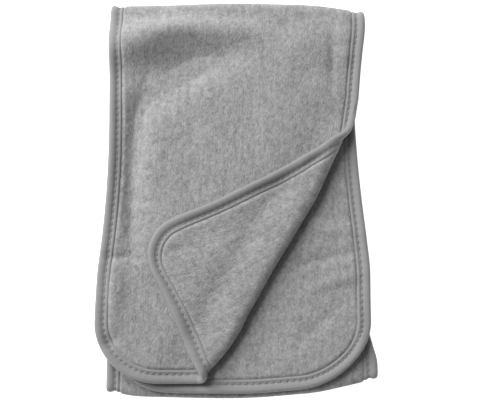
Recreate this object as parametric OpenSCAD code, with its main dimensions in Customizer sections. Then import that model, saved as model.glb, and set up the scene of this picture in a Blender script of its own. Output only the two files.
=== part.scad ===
// Throw blanket: one long narrow sheet of brushed fleece with rounded corners.
// A soft tape binds its edge all round, sewn on with one row of stitches.
// The sheet is folded crosswise into four layers.
// The near right corner of the top layer is turned over.
// Layers are numbered from the lowest: base, third, second and top.
// The stack lies flat on Z = 0. +Y points to the double fold and +Z is up.

/* [Sheet] */
// Width of the sheet, binding included
sheet_w = 200; // [180:1:220]
// Length of the folded stack
stack_len = 306; // [290:1:340]
// Thickness of the fleece with its pile
fleece_t = 4; // [3.6:0.1:4.2]
// Thickness of the fleece where the binding squeezes it
fleece_edge_t = 3; // [2:0.1:3.4]
// Radius of the sheet's rounded corners
corner_r = 44; // [30:1:60]

/* [Binding] */
// Width of the binding on each face
binding_w = 10; // [8:0.5:14]
// Thickness of the bound edge
binding_t = 4.6; // [4.4:0.1:5]
// How far the fleece's cut edge lies inside the binding's outer edge
edge_gap = 1; // [0.5:0.1:2]
// Distance of the stitch row from the binding's outer edge
stitch_inset = 7.2; // [5:0.1:7.5]
// Diameter of the sewing thread
thread_d = 0.4; // [0.3:0.05:0.6]

/* [Stack] */
// Free height between two layers' bindings
layer_gap = 0.3; // [0.3:0.05:0.5]
// How far the top layer stops short of the stack's near end
top_short = 10; // [5:1:20]
// How far the second layer stops short of the stack's near end
second_short = 3; // [1:1:8]
// How far the upper layers and the lower layers stand apart sideways
side_step = 5; // [0:0.5:8]

/* [Turned corner] */
// How far up the top layer's right edge the turned corner begins
turn_up = 211; // [195:1:220]
// Angle between the crease and the sheet's near end
crease_angle = 59; // [57:0.5:62]
// Radius of the crease's soft roll, at the middle of the cloth
crease_r = 5; // [4:0.25:5.5]

/* [Hidden] */
$fn = 96;
cut_over = 20; // how far a cutting shape runs past what it cuts

fleece_colour = [0.56, 0.56, 0.57];
binding_colour = [0.47, 0.47, 0.48];
thread_colour = [0.4, 0.4, 0.41];

// Middle height of each layer, and of the turned corner that lies on the top layer
pitch = binding_t + layer_gap;
base_z = binding_t / 2;
third_z = base_z + pitch;
second_z = third_z + pitch;
top_z = second_z + pitch;
turned_z = top_z + 2 * crease_r;

// Where the folds stand: the radius is at the middle of the cloth
small_fold_r = pitch / 2;
large_fold_r = (top_z - base_z) / 2;
near_fold_z = base_z + small_fold_r;
far_fold_z = third_z + small_fold_r;
crease_z = top_z + crease_r;
near_y = -stack_len / 2 + small_fold_r + binding_t / 2;
far_y = stack_len / 2 - large_fold_r - binding_t / 2;
second_end_y = -stack_len / 2 + second_short;
top_end_y = -stack_len / 2 + top_short;

// Sideways place of each layer's centre line
lower_x = side_step / 2;
second_x = 0;
top_x = -side_step / 2;

// The crease's own frame: +X runs along it up the stack, +Y points to the turned side.
// Its origin is where the crease crosses the sheet's right edge.
crease_x = top_x + sheet_w / 2;
crease_y = top_end_y + turn_up;
crease_len = turn_up / sin(crease_angle);
crease_cloth = PI * crease_r;

// The roll stops short of the sheet's edges, which wrap round it at an angle
crease_far_stop = 13;
crease_foot_stop = 4;
// How much of the crease each binding takes as it crosses it
crease_band_far = binding_w / cos(crease_angle);
crease_band_foot = binding_w / sin(crease_angle);

// The turned corner leans down from the crease until its tip lies on the top layer
turned_reach = 82;
turned_tilt = asin((2 * crease_r - pitch) / turned_reach);

stitch_half = thread_d / 2;
groove_depth = thread_d + 0.1;

// ---------- flat outlines ----------

// A sheet's end: straight sides from the far fold, and two rounded corners at end_y
module sheet_end(end_y, inset) {
    half = sheet_w / 2 - inset;
    r = corner_r - inset;
    low = end_y + inset;
    translate([-half, low + r]) square([2 * half, far_y - low - r]);
    translate([r - half, low]) square([2 * (half - r), 2 * r]);
    for (side = [-1, 1])
        translate([side * (half - r), low + r]) circle(r);
}

// Everything on the turned side of the crease, and a little past it where a cut needs that
module kept_side(past) {
    translate([crease_x, crease_y]) rotate(crease_angle)
        translate([-2 * stack_len, -past]) square([4 * stack_len, 2 * stack_len]);
}

// The top layer's end, less the corner beyond the crease
module top_outline(inset, past = 0) {
    intersection() {
        translate([top_x, 0]) sheet_end(top_end_y, inset);
        kept_side(past);
    }
}

// The corner beyond the crease, mirrored over it and drawn back by the cloth in the crease
module turned_outline(inset, past = 0) {
    intersection() {
        translate([crease_x, crease_y]) rotate(crease_angle)
            translate([0, -crease_cloth]) mirror([0, 1])
            rotate(-crease_angle) translate([top_x - crease_x, -crease_y])
            sheet_end(top_end_y, inset);
        kept_side(past);
    }
}

// ---------- slabs, tapes and threads ----------

// A plate t thick about its middle height
module plate(middle_z, t) {
    translate([0, 0, middle_z - t / 2]) linear_extrude(t) children();
}

// Fleece of a shaped layer: full loft inside the binding, and a squeezed tongue within it
module fleece_plate(middle_z) {
    plate(middle_z, fleece_t) children(0);
    plate(middle_z, fleece_edge_t) children(1);
}

// Binding of a shaped layer: a plate less the fleece, its tongue and the two stitch grooves.
// Children: outer outline, inner outline, tongue outline, stitch row.
module binding_plate(middle_z) {
    difference() {
        plate(middle_z, binding_t) difference() {
            children(0);
            children(1);
        }
        plate(middle_z, fleece_edge_t) children(2);
        for (face = [-1, 1])
            plate(middle_z + face * binding_t / 2, 2 * groove_depth) children(3);
    }
}

// Thread of one stitch row: needle thread on the upper face, under thread on the lower one
module thread_plate(middle_z, face) {
    plate(middle_z + face * (binding_t / 2 - groove_depth + thread_d / 2), thread_d) children();
}

// The stitch row of each shaped layer: a narrow band along its binding
module second_row() {
    difference() {
        translate([second_x, 0]) sheet_end(second_end_y, stitch_inset - stitch_half);
        translate([second_x, 0]) sheet_end(second_end_y, stitch_inset + stitch_half);
    }
}

module top_row(past = 0) {
    difference() {
        top_outline(stitch_inset - stitch_half, past);
        top_outline(stitch_inset + stitch_half, past);
    }
}

module turned_row(past = 0) {
    difference() {
        turned_outline(stitch_inset - stitch_half, past);
        turned_outline(stitch_inset + stitch_half, past);
    }
}

// ---------- straight layers of the lower half ----------

run_len = far_y - near_y;

// A block over the straight layers' length, from x0 to x1 and z0 to z1
module run(x0, x1, z0, z1) {
    translate([x0, near_y, z0]) cube([x1 - x0, run_len, z1 - z0]);
}

// Fleece of a straight layer, with low_z where its lower face lies
module straight_layer(middle_z, low_z) {
    half = sheet_w / 2;
    run(lower_x - half + binding_w, lower_x + half - binding_w, low_z, middle_z + fleece_t / 2);
    run(lower_x - half + edge_gap, lower_x + half - edge_gap,
        middle_z - fleece_edge_t / 2, middle_z + fleece_edge_t / 2);
}

// Binding along one side of a straight layer, side being -1 for left and 1 for right
module straight_binding(middle_z, side) {
    translate([lower_x, 0, 0]) mirror([side < 0 ? 1 : 0, 0, 0]) difference() {
        run(sheet_w / 2 - binding_w, sheet_w / 2,
            middle_z - binding_t / 2, middle_z + binding_t / 2);
        straight_cut(middle_z);
    }
}

// What a straight binding is cut by: the fleece's tongue and the stitch grooves
module straight_cut(middle_z) {
    cut_y = near_y - cut_over;
    cut_len = run_len + 2 * cut_over;
    translate([0, cut_y, middle_z - fleece_edge_t / 2])
        cube([sheet_w / 2 - edge_gap, cut_len, fleece_edge_t]);
    for (face = [-1, 1])
        translate([sheet_w / 2 - stitch_inset - stitch_half, cut_y,
                   middle_z + face * binding_t / 2 - groove_depth])
            cube([thread_d, cut_len, 2 * groove_depth]);
}

// Two straight threads of one face
module straight_thread(middle_z, face) {
    thread_z = middle_z + face * (binding_t / 2 - groove_depth + thread_d / 2);
    for (side = [-1, 1])
        translate([lower_x + side * (sheet_w / 2 - stitch_inset) - stitch_half,
                   near_y, thread_z - stitch_half])
            cube([thread_d, run_len, thread_d]);
}

// ---------- folds ----------

// Half a tube round a line along X, t thick about radius r, bulging towards +Y
module half_tube(r, t, x0, x1) {
    translate([x0, 0, 0]) rotate([90, 0, 90]) linear_extrude(x1 - x0) difference() {
        circle(r + t / 2);
        circle(r - t / 2);
        translate([-2 * r - t, -2 * r - t]) square([2 * r + t, 4 * r + 2 * t]);
    }
}

// The fleece of a crosswise fold, with its tongues under the binding
module fold_fleece(r) {
    half = sheet_w / 2;
    half_tube(r, fleece_t, binding_w - half, half - binding_w);
    half_tube(r, fleece_edge_t, edge_gap - half, half - edge_gap);
}

// The binding at both ends of a crosswise fold
module fold_bindings(r) {
    half = sheet_w / 2;
    for (side = [0, 1]) mirror([side, 0, 0]) difference() {
        half_tube(r, binding_t, half - binding_w, half);
        half_tube(r, fleece_edge_t, 0, half - edge_gap);
    }
}

module at_far_fold() {
    translate([lower_x, far_y, far_fold_z]) children();
}

module at_near_fold() {
    translate([lower_x, near_y, near_fold_z]) mirror([0, 1, 0]) children();
}

// At the foot of the crease, with +X up the crease and +Y to the side that the cloth left
module at_crease() {
    translate([crease_x, crease_y, crease_z]) rotate([0, 0, crease_angle])
        translate([-crease_len, 0, 0]) mirror([0, 1, 0]) children();
}

// The turned corner's lean, a turn about the crease's axis
module leaning() {
    translate([crease_x, crease_y, crease_z]) rotate([0, 0, crease_angle])
        rotate([-turned_tilt, 0, 0])
        rotate([0, 0, -crease_angle]) translate([-crease_x, -crease_y, -crease_z]) children();
}

// ---------- the lower half: the part that lies on the table ----------

module base_layer() {
    color(fleece_colour) straight_layer(base_z, 0);
}

module third_layer() {
    color(fleece_colour) straight_layer(third_z, third_z - fleece_t / 2);
}

module near_fold() {
    color(fleece_colour) at_near_fold() fold_fleece(small_fold_r);
}

module outer_fold() {
    color(fleece_colour) at_far_fold() fold_fleece(large_fold_r);
}

module inner_fold() {
    color(fleece_colour) at_far_fold() fold_fleece(small_fold_r);
}

module base_binding_left() {
    color(binding_colour) straight_binding(base_z, -1);
}

module base_binding_right() {
    color(binding_colour) straight_binding(base_z, 1);
}

module third_binding_left() {
    color(binding_colour) straight_binding(third_z, -1);
}

module third_binding_right() {
    color(binding_colour) straight_binding(third_z, 1);
}

module near_fold_bindings() {
    color(binding_colour) at_near_fold() fold_bindings(small_fold_r);
}

module outer_fold_bindings() {
    color(binding_colour) at_far_fold() fold_bindings(large_fold_r);
}

module inner_fold_bindings() {
    color(binding_colour) at_far_fold() fold_bindings(small_fold_r);
}

module base_needle_thread() {
    color(thread_colour) straight_thread(base_z, 1);
}

module base_under_thread() {
    color(thread_colour) straight_thread(base_z, -1);
}

module third_needle_thread() {
    color(thread_colour) straight_thread(third_z, 1);
}

module third_under_thread() {
    color(thread_colour) straight_thread(third_z, -1);
}

// ---------- the upper half: the second layer and the top layer ----------

module second_layer() {
    color(fleece_colour) translate([second_x, 0, 0]) fleece_plate(second_z) {
        sheet_end(second_end_y, binding_w);
        sheet_end(second_end_y, edge_gap);
    }
}

module second_binding() {
    color(binding_colour) binding_plate(second_z) {
        translate([second_x, 0]) sheet_end(second_end_y, 0);
        translate([second_x, 0]) sheet_end(second_end_y, binding_w);
        translate([second_x, 0]) sheet_end(second_end_y, edge_gap);
        second_row();
    }
}

module second_needle_thread() {
    color(thread_colour) thread_plate(second_z, 1) second_row();
}

module second_under_thread() {
    color(thread_colour) thread_plate(second_z, -1) second_row();
}

module top_layer() {
    color(fleece_colour) fleece_plate(top_z) {
        top_outline(binding_w);
        top_outline(edge_gap);
    }
}

// The top layer's binding on one side of the stack's middle, side being -1 for left and 1
// for right: the crease parts it in two
module top_binding_part(side) {
    binding_plate(top_z) {
        intersection() {
            top_outline(0);
            translate([side < 0 ? -stack_len : 0, -stack_len]) square([stack_len, 2 * stack_len]);
        }
        top_outline(binding_w, cut_over);
        top_outline(edge_gap, cut_over);
        top_row(cut_over);
    }
}

module top_binding() {
    color(binding_colour) top_binding_part(-1);
}

module top_binding_right() {
    color(binding_colour) top_binding_part(1);
}

module top_needle_thread() {
    color(thread_colour) thread_plate(top_z, 1) top_row();
}

module top_under_thread() {
    color(thread_colour) thread_plate(top_z, -1) top_row();
}

crease_from = crease_foot_stop + crease_band_foot;
crease_to = crease_len - crease_far_stop - crease_band_far;

module corner_crease() {
    color(fleece_colour) at_crease()
        half_tube(crease_r, fleece_t, crease_from, crease_to);
}

module corner_crease_bindings() {
    color(binding_colour) at_crease() {
        half_tube(crease_r, binding_t, crease_from - crease_band_foot, crease_from);
        half_tube(crease_r, binding_t, crease_to, crease_to + crease_band_far);
    }
}

// ---------- the turned corner ----------

module turned_corner() {
    color(fleece_colour) leaning() fleece_plate(turned_z) {
        turned_outline(binding_w);
        turned_outline(edge_gap);
    }
}

module turned_corner_binding() {
    color(binding_colour) leaning() binding_plate(turned_z) {
        turned_outline(0);
        turned_outline(binding_w, cut_over);
        turned_outline(edge_gap, cut_over);
        turned_row(cut_over);
    }
}

module turned_needle_thread() {
    color(thread_colour) leaning() thread_plate(turned_z, 1) turned_row();
}

module turned_under_thread() {
    color(thread_colour) leaning() thread_plate(turned_z, -1) turned_row();
}

base_layer();
third_layer();
near_fold();
outer_fold();
inner_fold();
base_binding_left();
base_binding_right();
third_binding_left();
third_binding_right();
near_fold_bindings();
outer_fold_bindings();
inner_fold_bindings();
base_needle_thread();
base_under_thread();
third_needle_thread();
third_under_thread();
second_layer();
second_binding();
second_needle_thread();
second_under_thread();
top_layer();
top_binding();
top_binding_right();
top_needle_thread();
top_under_thread();
corner_crease();
corner_crease_bindings();
turned_corner();
turned_corner_binding();
turned_needle_thread();
turned_under_thread();
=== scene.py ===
"""A bound fleece throw, folded in four with one corner turned over."""
import math

import bpy
import numpy as np
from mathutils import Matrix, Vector


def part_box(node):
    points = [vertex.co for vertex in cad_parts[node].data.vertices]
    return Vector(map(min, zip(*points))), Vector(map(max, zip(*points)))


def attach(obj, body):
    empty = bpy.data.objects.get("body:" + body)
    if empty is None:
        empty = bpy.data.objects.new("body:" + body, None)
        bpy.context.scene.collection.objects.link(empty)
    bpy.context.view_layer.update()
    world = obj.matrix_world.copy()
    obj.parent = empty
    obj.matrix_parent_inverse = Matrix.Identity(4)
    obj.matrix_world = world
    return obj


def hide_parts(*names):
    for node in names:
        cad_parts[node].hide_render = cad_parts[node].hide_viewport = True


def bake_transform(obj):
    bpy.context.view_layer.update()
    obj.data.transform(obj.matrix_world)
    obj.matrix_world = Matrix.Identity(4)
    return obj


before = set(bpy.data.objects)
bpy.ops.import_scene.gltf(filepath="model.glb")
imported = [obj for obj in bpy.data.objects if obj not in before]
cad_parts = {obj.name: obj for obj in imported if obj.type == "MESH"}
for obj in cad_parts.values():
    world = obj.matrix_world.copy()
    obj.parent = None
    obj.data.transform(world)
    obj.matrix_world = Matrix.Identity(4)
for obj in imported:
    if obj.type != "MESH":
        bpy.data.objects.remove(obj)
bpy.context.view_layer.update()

bl_info = {
    "name": "Folded throw",
    "version": (1, 0, 0),
    "blender": (4, 5, 0),
    "location": "3D View > Sidebar > Throw",
    "description": "A bound fleece throw, folded in four with one corner turned over",
    "category": "Mesh",
}

MM = 0.001  # the shapes are worked out in millimetres


def span(node, axis):
    """Lowest and highest value of a frame node along one axis, in millimetres."""
    low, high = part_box(node)
    return low[axis] / MM, high[axis] / MM


def middle(node, axis):
    """Middle of a frame node along one axis, in millimetres."""
    return sum(span(node, axis)) / 2


# ---------- sizes and colours a maker would change ----------


class ThrowSizes(bpy.types.PropertyGroup):
    """Sizes of the cloth, its binding and its stitches."""

    width: bpy.props.FloatProperty(
        name="Sheet width", description="Width of the flat sheet, binding included",
        default=0.2, min=0.18, max=0.22, unit="LENGTH")
    loft: bpy.props.FloatProperty(
        name="Fleece thickness", description="Thickness of the fleece with its pile",
        default=0.004, min=0.003, max=0.0042, unit="LENGTH")
    tape: bpy.props.FloatProperty(
        name="Binding width", description="Width of the binding on each face",
        default=0.0105, min=0.009, max=0.012, unit="LENGTH")
    tape_thickness: bpy.props.FloatProperty(
        name="Binding thickness", description="Thickness of the bound edge where it is fullest",
        default=0.0047, min=0.004, max=0.0048, unit="LENGTH")
    stitch: bpy.props.FloatProperty(
        name="Stitch length", description="Distance from one needle hole to the next",
        default=0.005, min=0.003, max=0.008, unit="LENGTH")
    thread: bpy.props.FloatProperty(
        name="Thread diameter", description="Diameter of the sewing thread",
        default=0.0007, min=0.0004, max=0.0008, unit="LENGTH")
    swell: bpy.props.FloatProperty(
        name="Swell", description="How strongly the layers puff up and dip",
        default=1.0, min=0.0, max=1.3)


class ThrowFinish(bpy.types.PropertyGroup):
    """Colours of the cloth, the binding and the thread."""

    fleece: bpy.props.FloatVectorProperty(
        name="Fleece", description="Middle colour of the mottled fleece", subtype="COLOR",
        size=3, default=(0.272, 0.272, 0.272), min=0, max=1)
    binding: bpy.props.FloatVectorProperty(
        name="Binding", description="Colour of the binding tape", subtype="COLOR",
        size=3, default=(0.245, 0.245, 0.245), min=0, max=1)
    thread: bpy.props.FloatVectorProperty(
        name="Thread", description="Colour of the sewing thread", subtype="COLOR",
        size=3, default=(0.235, 0.235, 0.235), min=0, max=1)
    floor: bpy.props.FloatVectorProperty(
        name="Floor", description="Colour of the floor", subtype="COLOR",
        size=3, default=(0.9, 0.9, 0.9), min=0, max=1)


# ---------- small helpers for whole arrays ----------


def ease(x):
    """Eased step: 0 below 0, 1 above 1, and 3 x² - 2 x³ between them."""
    x = np.clip(x, 0.0, 1.0)
    return x * x * (3 - 2 * x)


def rise(x, stretch):
    """Eased step that starts at a stretch's first value and takes its second one to reach 1."""
    start, length = stretch
    return ease((x - start) / length)


def through(x, knots):
    """Smooth curve through (place, value) knots: a cubic between neighbours, with the slope
    of its two neighbours' chord at each inner knot, and level at and beyond both ends."""
    place, value = np.array(knots, float).T
    slope = np.gradient(value, place)
    slope[[0, -1]] = 0
    x = np.clip(x, place[0], place[-1])
    i = np.clip(np.searchsorted(place, x, side="right") - 1, 0, len(place) - 2)
    gap = place[i + 1] - place[i]
    s = (x - place[i]) / gap
    return (value[i] * (1 + 2 * s) * (1 - s) ** 2 + slope[i] * gap * s * (1 - s) ** 2
            + value[i + 1] * s * s * (3 - 2 * s) + slope[i + 1] * gap * s * s * (s - 1))


def hill(x, y, at, long, wide, turn=0.0):
    """Rounded hill of height 1: e to the minus the square of the distance from its middle,
    counted in its own length and width, which lie along an axis turned by so many degrees."""
    c, s = math.cos(math.radians(turn)), math.sin(math.radians(turn))
    along = (x - at[0]) * c + (y - at[1]) * s
    beside = (y - at[1]) * c - (x - at[0]) * s
    return np.exp(-(along / long) ** 2 - (beside / wide) ** 2)


def crossing(f, low, high):
    """Where f changes sign between low and high, by halving the span forty times."""
    low, high = np.array(low, float), np.array(high, float)
    below = f(low) < 0
    for _ in range(40):
        mid = (low + high) / 2
        same = (f(mid) < 0) == below
        low, high = np.where(same, mid, low), np.where(same, high, mid)
    return (low + high) / 2


def coons(first, last, start, end):
    """Flat patch between four curves: the two ruled surfaces between opposite curves, added,
    less the plane through the four corners. Rows run from first to last."""
    n, m = len(start), len(first)
    a, b = np.linspace(0, 1, n)[:, None, None], np.linspace(0, 1, m)[None, :, None]
    rows = first[None] * (1 - a) + last[None] * a
    columns = start[:, None] * (1 - b) + end[:, None] * b
    corners = ((first[0] * (1 - b) + first[-1] * b) * (1 - a)
               + (last[0] * (1 - b) + last[-1] * b) * a)
    return rows + columns - corners


# ---------- the cloth's course through the stack ----------

# Left and right edges of the layers along y. All layers share the far fold.
TOP_LEFT = [(-143, -105), (-100, -105), (-81, -104.3), (-59, -103.2), (-36, -100.7),
            (-5, -98.4), (143, -98.4)]
TOP_RIGHT = [(-143, 101), (-110, 97.5), (-85, 94.9), (-53, 94.1), (-19, 93.1), (0, 90.8),
             (19.4, 89.6), (26.5, 90.2), (40, 90.1), (50, 90.4), (62, 92.1), (73, 93.8),
             (85, 94.8), (97, 95.8), (113, 97.3), (143, 100)]
SECOND_LEFT = [(-150, -99.5), (-60, -99), (0, -97.5), (60, -96.5), (143, -98.4)]
SECOND_RIGHT = [(-150, 100.5), (-81, 100.5), (-55, 100.4), (-32, 98.2), (-4, 95.2), (32, 92.3),
                (60, 91.3), (80, 92.5), (100, 95), (143, 100)]
LOWER_LEFT = [(-151, -97.2), (-60, -96), (60, -95.5), (143, -98.4)]
LOWER_RIGHT = [(-150, 105.5), (-138.5, 105), (-129, 102.9), (-114, 99.9), (-80, 97.5), (0, 94),
               (60, 90.5), (80, 91.5), (100, 94), (143, 100)]
# How far the folds and the second layer's end stand off their straight lines, across the sheet
FAR_DROP = [(-100, -2.2), (-60, -1.6), (-10, 0), (30, -0.4), (66, -2.2), (85, -5), (100, -7.2)]
NEAR_LIFT = [(-100, 4.2), (-80, 1), (-55, 0), (15, 0), (38, 1.9), (53, 3.3), (73, 7.4),
             (87, 10.7), (100, 14.2)]
SECOND_LIFT = [(-100, 1.5), (-60, 0.6), (-20, 0), (10, 0), (40, 2.2), (70, 4.6), (100, 4.6)]
SECOND_SHARE = 0.5  # share of the top layer's swell that the second layer takes

# The crease: the roll's outermost line, half width and half height from its foot to its top
CREASE_ANGLE = math.radians(59)
CREASE_AT = (35.0, -39.0)
ROLL_LINE = [(-120, -0.9), (-105, -0.8), (-99, -2), (-75, -4.2), (-60, -3.2), (-47, -2.9),
             (-19, -2.0), (4, -2.3), (23, -2.2), (41, -2.2), (63, 0.2), (77, 1.6), (90, 2.3),
             (105, 1.8), (116, 2.0), (130, 3), (150, 5)]
ROLL_WIDTH = [(-120, 4), (-100, 4.8), (-60, 5.8), (0, 6.3), (40, 6.3), (75, 6.2), (85, 6.1),
              (96, 5.8), (105, 5.5), (116, 5.2), (126, 4.6), (140, 4)]
ROLL_HEIGHT = [(-120, 4.4), (-60, 4.6), (0, 4.9), (50, 5.4), (85, 6.2), (126, 6.6)]
REST_HEIGHT = 5.0  # middle of the turned corner over the middle of the layer it lies on
REST_REACH = 25.0  # how far from the roll the turned corner takes to come down
CURL = 3.4  # near the crease, the right side's edge curls up by this much
CURL_WIDTH = 7.0  # within about this distance from its edge
TOP_BASE, SECOND_BASE, TURNED_BASE = 3.2, 1.8, 0.8  # even part of each layer's swell
HILL_SOFTENING = 3  # the larger, the sharper a layer's swell turns level where it meets 0

# Where each easing starts, and the length it takes to be whole
FAR_BEND = (60, 85)  # along y: the far folds' own line
NEAR_BEND = (70, 75)  # along -y: the near fold's own line
SECOND_BEND = (90, 45)  # along -y: the second layer's end
FAR_CALM = (-146, 24)  # along -y: the top layer's swell, away from the far fold
CURL_LEAST, CURL_MORE = 0.55, 0.45  # share of the curl at the sheet's end, and the rest
CURL_GROWS = (70, 70)  # along v: that rest
CURL_STARTS = (25, 25)  # along v: the curl, away from the sheet's end
CURL_STOPS = (-245, 40)  # along -v: the curl, away from the far fold
TURNED_CURL = (2, 12)  # past the roll: the turned corner's curl
TOP_CURL = (2, 16)  # before the roll: the top layer's curl
TURNED_SWELL = (0, 14)  # past the roll: the turned corner's swell
TOP_SWELL = (5, 35)  # before the roll: the top layer's swell
SECOND_SWELL = (2, 12)  # beyond the roll's start: the second layer's swell

CORNER_RADII = {"top": (46.0, 34.0), "second": (50.0, 54.0)}  # left and right
GROOVE_AT = 6.9  # the stitch row's distance from the binding's outer edge
TONGUE_FROM = 1.2  # the fleece's cut edge lies this far inside the binding's outer edge
TONGUE_HALF = 0.35  # half thickness of the fleece where the binding squeezes it
LOFT_BEFORE, LOFT_OVER = 1.5, 3.4  # the fleece fills out from this far inside the binding


class Cloth:
    """The sheet, laid through the stack. Its flat places are u, from the left edge to the
    right one, and v, from the top layer's end through the three folds to the other end."""

    def __init__(self, sizes):
        self.half_width = sizes.width / MM / 2
        self.loft = sizes.loft / MM / 2
        self.tape = sizes.tape / MM
        self.tape_half = sizes.tape_thickness / MM / 2
        self.pitch = sizes.stitch / MM
        self.thread = sizes.thread / MM / 2
        self.swell_by = sizes.swell
        self.heights = [middle(n, 2) for n in (
            "top_binding", "base_binding_left", "third_binding_left", "second_binding")]
        near, far = span("base_binding_left", 1)
        top, base, third, second = self.heights
        self.radii = [(top - base) / 2, (third - base) / 2, (second - third) / 2]
        runs = [far - span("top_binding", 1)[0], far - near, far - near,
                far - span("second_binding", 1)[0]]
        turns = [math.pi * r for r in self.radii] + [0]
        self.marks = []  # where each fold starts and ends along v
        v = 0
        for run, turn in zip(runs, turns):
            self.marks += [v + run, v + run + turn]
            v += run + turn
        self.length = v
        self.places = [far, far, near, near, far, far]
        self.ends = [span("top_binding", 1)[0], span("second_binding", 1)[0]]

    def folds(self, v):
        """How far along each fold a place is, as an angle from 0 to half a turn."""
        return [math.pi * np.clip((v - a) / (b - a), 0, 1)
                for a, b in zip(self.marks[0:6:2], self.marks[1:6:2])]

    def plan(self, u, v):
        """Plan and height of the sheet's middle before its swell and its crease, the share of
        the top layer's swell that it takes, and how far it has passed the outer and the inner
        fold. Height: each fold adds its step times (1 - cos angle) / 2. Along: the straight
        runs, plus radius times sin angle in a fold."""
        margin = 60
        y = np.interp(v, [-margin] + self.marks[:6] + [self.length + margin],
                      [self.ends[0] - margin] + self.places + [self.ends[1] - margin])
        angles = self.folds(v)
        passed = [(1 - np.cos(a)) / 2 for a in angles]
        z = self.heights[0] + sum(
            (b - a) * p for a, b, p in zip(self.heights, self.heights[1:], passed))
        for radius, angle, way in zip(self.radii, angles, (1, -1, 1)):
            y = y + way * radius * np.sin(angle)
        outer, _, inner = passed
        left = (through(y, TOP_LEFT) * (1 - outer) + through(y, LOWER_LEFT) * (outer - inner)
                + through(y, SECOND_LEFT) * inner)
        right = (through(y, TOP_RIGHT) * (1 - outer) + through(y, LOWER_RIGHT) * (outer - inner)
                 + through(y, SECOND_RIGHT) * inner)
        x = left + (right - left) * (u / self.half_width + 1) / 2
        y = y + (through(u, FAR_DROP) * rise(y, FAR_BEND)
                 + through(u, NEAR_LIFT) * rise(-y, NEAR_BEND) * (outer - inner)
                 + through(u, SECOND_LIFT) * rise(-y, SECOND_BEND) * inner)
        share = 1 - outer + SECOND_SHARE * inner
        return x, y, z, share, outer, inner

    def crease(self, x, y):
        """Places along and across the crease, with the roll's outermost line, half width,
        half height and length there. Across grows towards the side that lies flat."""
        c, s = math.cos(CREASE_ANGLE), math.sin(CREASE_ANGLE)
        t = (x - CREASE_AT[0]) * c + (y - CREASE_AT[1]) * s
        n = (y - CREASE_AT[1]) * c - (x - CREASE_AT[0]) * s
        line, wide, high = (through(t, k) for k in (ROLL_LINE, ROLL_WIDTH, ROLL_HEIGHT))
        return t, n, line, wide, high, np.pi * np.sqrt((wide ** 2 + high ** 2) / 2)

    def wrapped(self, x, y):
        """How far the cloth at a plan place has gone into the roll, and the roll's length."""
        _, n, line, wide, _, length = self.crease(x, y)
        return line + wide - n, length

    def turn_over(self, x, y):
        """Carries what lies past the crease round the roll and back over the layer. In the
        roll the angle grows evenly from -90° to 90° with the cloth's length: across = line +
        half width (1 - cos), height = half height (1 + sin). Past it the cloth runs straight
        back, comes down to its rest height by an eased step and takes its swell. Gives the
        plan, the height over the layer, and how far past the roll the cloth is."""
        t, n, line, wide, high, length = self.crease(x, y)
        d = line + wide - n
        angle = np.pi * (np.clip(d / length, 0, 1) - 0.5)
        over = np.maximum(d - length, 0)
        n = line + wide * (1 - np.cos(angle)) + over + np.maximum(-d, 0)
        height = high * (1 + np.sin(angle)) - (2 * high - REST_HEIGHT) * ease(over / REST_REACH)
        c, s = math.cos(CREASE_ANGLE), math.sin(CREASE_ANGLE)
        x, y = CREASE_AT[0] + t * c - n * s, CREASE_AT[1] + t * s + n * c
        swell = self.swell_by * rise(over, TURNED_SWELL) * puffed(
            x, y, TURNED_BASE, TURNED_HILLS)
        return x, y, height + swell, over

    def lay(self, u, v):
        """Middle of the sheet in the stack, for flat places u and v: the plan, then the roll
        and the turned corner with its curled edge, then the swell of the layers."""
        x, y, z, share, _, inner = self.plan(u, v)
        top = v < self.marks[0]
        turned_x, turned_y, lift, over = self.turn_over(x, y)
        curl = CURL * np.exp(-((self.half_width - u) / CURL_WIDTH) ** 2) * (
            CURL_LEAST + CURL_MORE * rise(v, CURL_GROWS))
        before = -self.wrapped(x, y)[0]
        rises = (rise(over, TURNED_CURL) * rise(v, CURL_STARTS)
                 + rise(-v, CURL_STOPS) * rise(before, TOP_CURL))
        x, y = np.where(top, turned_x, x), np.where(top, turned_y, y)
        z = z + np.where(top, lift + self.swell_by * curl * rises, 0)
        beyond = self.wrapped(x, y)[0]
        open_ground = rise(-beyond, TOP_SWELL) * rise(-y, FAR_CALM)
        z = z + self.swell_by * (
            share * open_ground * puffed(x, y, TOP_BASE, TOP_HILLS)
            + inner * puffed(x, y, SECOND_BASE, SECOND_HILLS) * rise(beyond, SECOND_SWELL))
        return np.stack([x, y, z], -1)

    def skin(self, u, v, n):
        """The sheet's middle plus n along its normal, which is the cross product of the
        sheet's slopes in u and v, taken over a twentieth of a millimetre each way."""
        u, v, n = np.broadcast_arrays(*(np.asarray(a, float) for a in (u, v, n)))
        step = 0.05
        across = self.lay(u + step, v) - self.lay(u - step, v)
        along = self.lay(u, v + step) - self.lay(u, v - step)
        normal = np.cross(across, along)
        normal /= np.linalg.norm(normal, axis=-1, keepdims=True)
        return self.lay(u, v) + normal * n[..., None]

    def inset(self, u, v):
        """Distance inwards from the outline: from the nearest straight side, or in a rounded
        corner the radius less the distance from the corner's middle."""
        w = self.half_width
        e = np.minimum(np.minimum(w - np.abs(u), v), self.length - v)
        for end, from_end in (("top", v), ("second", self.length - v)):
            for radius, from_side in zip(CORNER_RADII[end], (u + w, w - u)):
                a, b = radius - from_side, radius - from_end
                e = np.where((a > 0) & (b > 0), radius - np.hypot(a, b), e)
        return e

    def half_loft(self, u, v):
        """Half the fleece's thickness: squeezed inside the binding, then an eased rise."""
        e = self.inset(u, v)
        return TONGUE_HALF + (self.loft - TONGUE_HALF) * ease(
            (e - self.tape + LOFT_BEFORE) / LOFT_OVER)

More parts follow.
